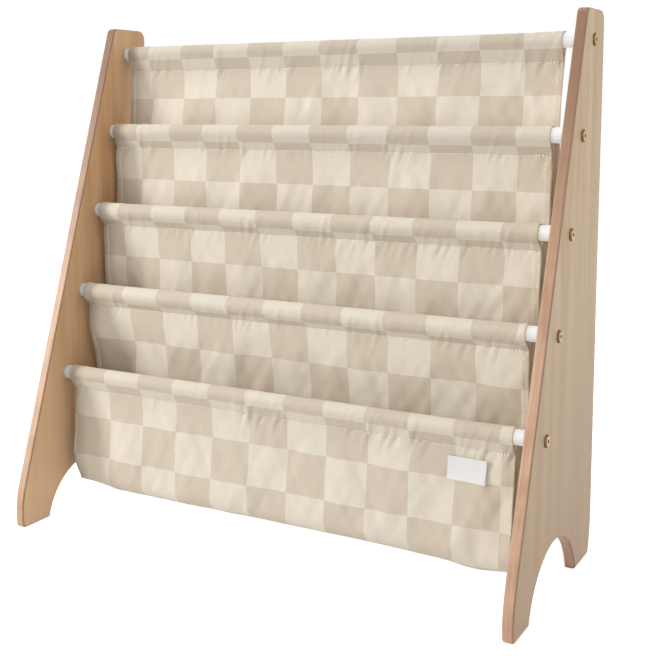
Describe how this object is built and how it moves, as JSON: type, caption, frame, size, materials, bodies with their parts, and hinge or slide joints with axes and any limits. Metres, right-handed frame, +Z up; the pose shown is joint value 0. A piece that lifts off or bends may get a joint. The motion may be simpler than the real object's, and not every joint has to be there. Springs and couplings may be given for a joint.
{
  "type": "sling bookshelf",
  "caption": "Low children's book rack: two slanted wooden side panels joined by round rods that carry checked cloth slings as stepped, forward-facing book pockets.",
  "frame": {"origin": "on the floor, in the middle of the width over the bolt heads and of the depth of the side panels", "axes": "+X along the rods to the shelf's right side as seen from the front, -Y towards the front where the slanted edges are, +Z up"},
  "size_m": [0.6246, 0.254, 0.594],
  "materials": {
    "wood_panel": "clear matte lacquer on light vertical-grained hardwood",
    "rod_coating": "white powder coat",
    "bolt_brass": "antique brass plated",
    "insert_steel": "zinc plated",
    "sling_canvas": "plain-weave cotton canvas, printed with 50 mm cream and beige checks",
    "label_satin": "bare white woven satin"
  },
  "bodies": {
    "root": {"side_panel_left": "wood_panel", "side_panel_right": "wood_panel", "rod_1": "rod_coating", "rod_2": "rod_coating", "rod_3": "rod_coating", "rod_4": "rod_coating", "rod_5": "rod_coating", "rod_insert_1_left": "insert_steel", "rod_insert_1_right": "insert_steel", "rod_insert_2_left": "insert_steel", "rod_insert_2_right": "insert_steel", "rod_insert_3_left": "insert_steel", "rod_insert_3_right": "insert_steel", "rod_insert_4_left": "insert_steel", "rod_insert_4_right": "insert_steel", "rod_insert_5_left": "insert_steel", "rod_insert_5_right": "insert_steel", "panel_bolt_1_left": "bolt_brass", "panel_bolt_1_right": "bolt_brass", "panel_bolt_2_left": "bolt_brass", "panel_bolt_2_right": "bolt_brass", "panel_bolt_3_left": "bolt_brass", "panel_bolt_3_right": "bolt_brass", "panel_bolt_4_left": "bolt_brass", "panel_bolt_4_right": "bolt_brass", "panel_bolt_5_left": "bolt_brass", "panel_bolt_5_right": "bolt_brass", "sling_1": "sling_canvas", "sling_2": "sling_canvas", "sling_3": "sling_canvas", "sling_4": "sling_canvas", "sewn_label": "label_satin"}
  },
  "joints": []
}
